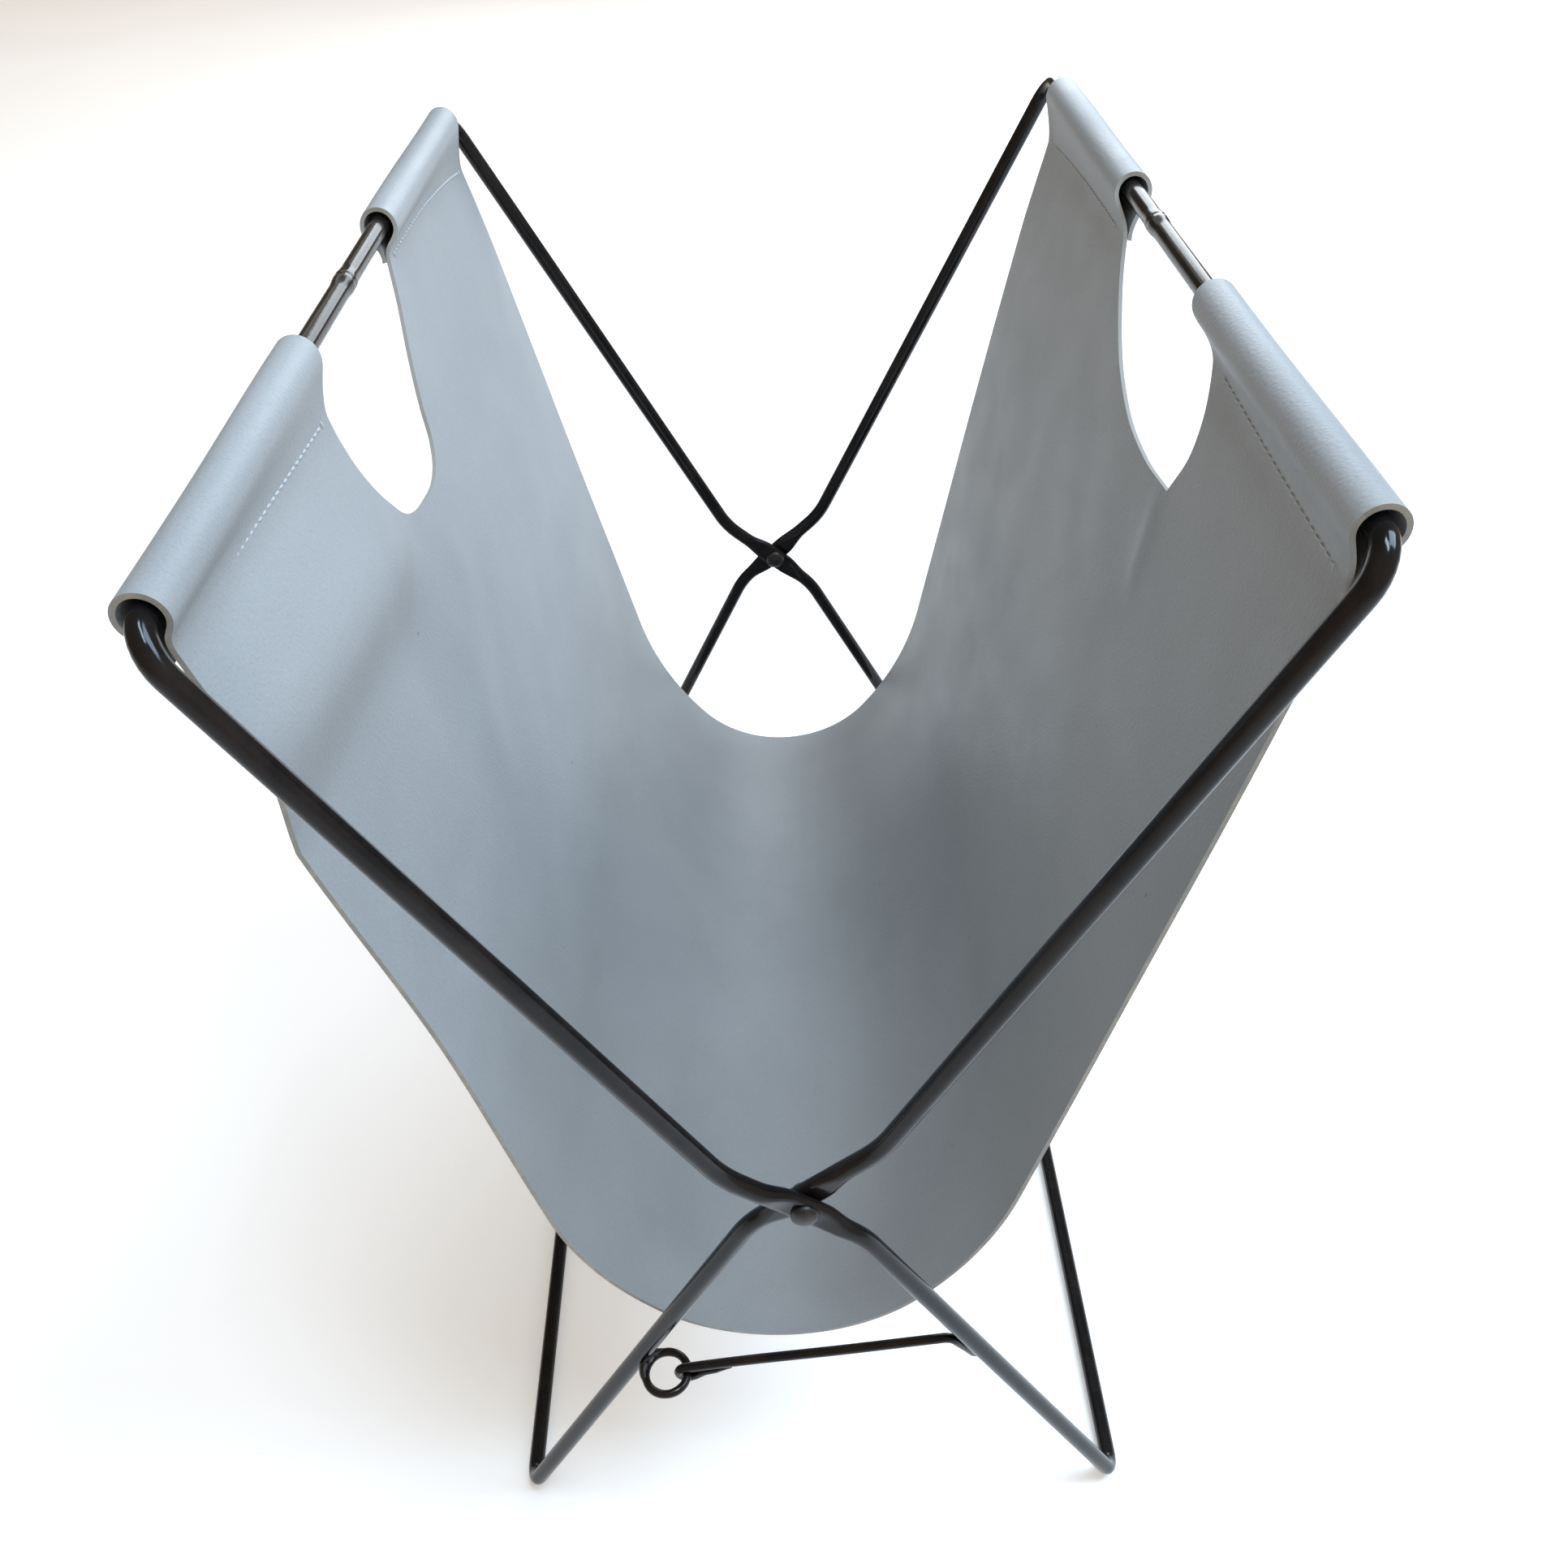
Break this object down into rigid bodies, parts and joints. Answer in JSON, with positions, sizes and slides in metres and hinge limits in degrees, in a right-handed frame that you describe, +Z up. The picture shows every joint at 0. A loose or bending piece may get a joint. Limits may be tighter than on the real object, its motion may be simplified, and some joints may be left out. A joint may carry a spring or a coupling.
{
  "type": "folding magazine rack",
  "caption": "Folding rack of crossed wire-rod loops on rivets, with a leather sling between the top rails to hold magazines.",
  "frame": {"origin": "on the floor, under the middle of the line through the two rivets", "axes": "+X across the rack, +Y from the front, which has the ring and stay, to the back, +Z up"},
  "size_m": [0.2512, 0.3777, 0.414],
  "materials": {
    "black_lacquer": "gloss",
    "blackened_rivet": "satin",
    "grey_leather": "satin",
    "grey_thread": "matte"
  },
  "bodies": {
    "left_frame": {"left_rail_frame": "black_lacquer", "front_rivet": "blackened_rivet", "rear_rivet": "blackened_rivet", "stay": "black_lacquer"},
    "right_frame": {"right_rail_frame": "black_lacquer", "hook_ring": "black_lacquer"},
    "left_sling": {"left_sling_panel": "grey_leather", "left_front_seam": "grey_thread", "left_rear_seam": "grey_thread"},
    "right_sling": {"right_sling_panel": "grey_leather", "right_front_seam": "grey_thread", "right_rear_seam": "grey_thread"}
  },
  "joints": [
    {"name": "fold", "type": "hinge", "parent": "left_frame", "child": "right_frame", "pos_m": [0, 0, 0.2002], "axis": [0, -1, 0], "range_deg": [0, 50]},
    {"name": "left_sleeve_turn", "type": "hinge", "parent": "left_frame", "child": "left_sling", "pos_m": [-0.1195, 0, 0.4085], "axis": [0, -1, 0], "range_deg": [0, 7.8]},
    {"name": "sling_bend", "type": "hinge", "parent": "left_sling", "child": "right_sling", "pos_m": [0, 0, 0.094], "axis": [0, -1, 0], "range_deg": [0, 34.5]}
  ],
  "couplings": [
    {"joint": "left_sleeve_turn", "follows": "fold", "ratio": 0.1552},
    {"joint": "sling_bend", "follows": "fold", "ratio": 0.6896}
  ]
}
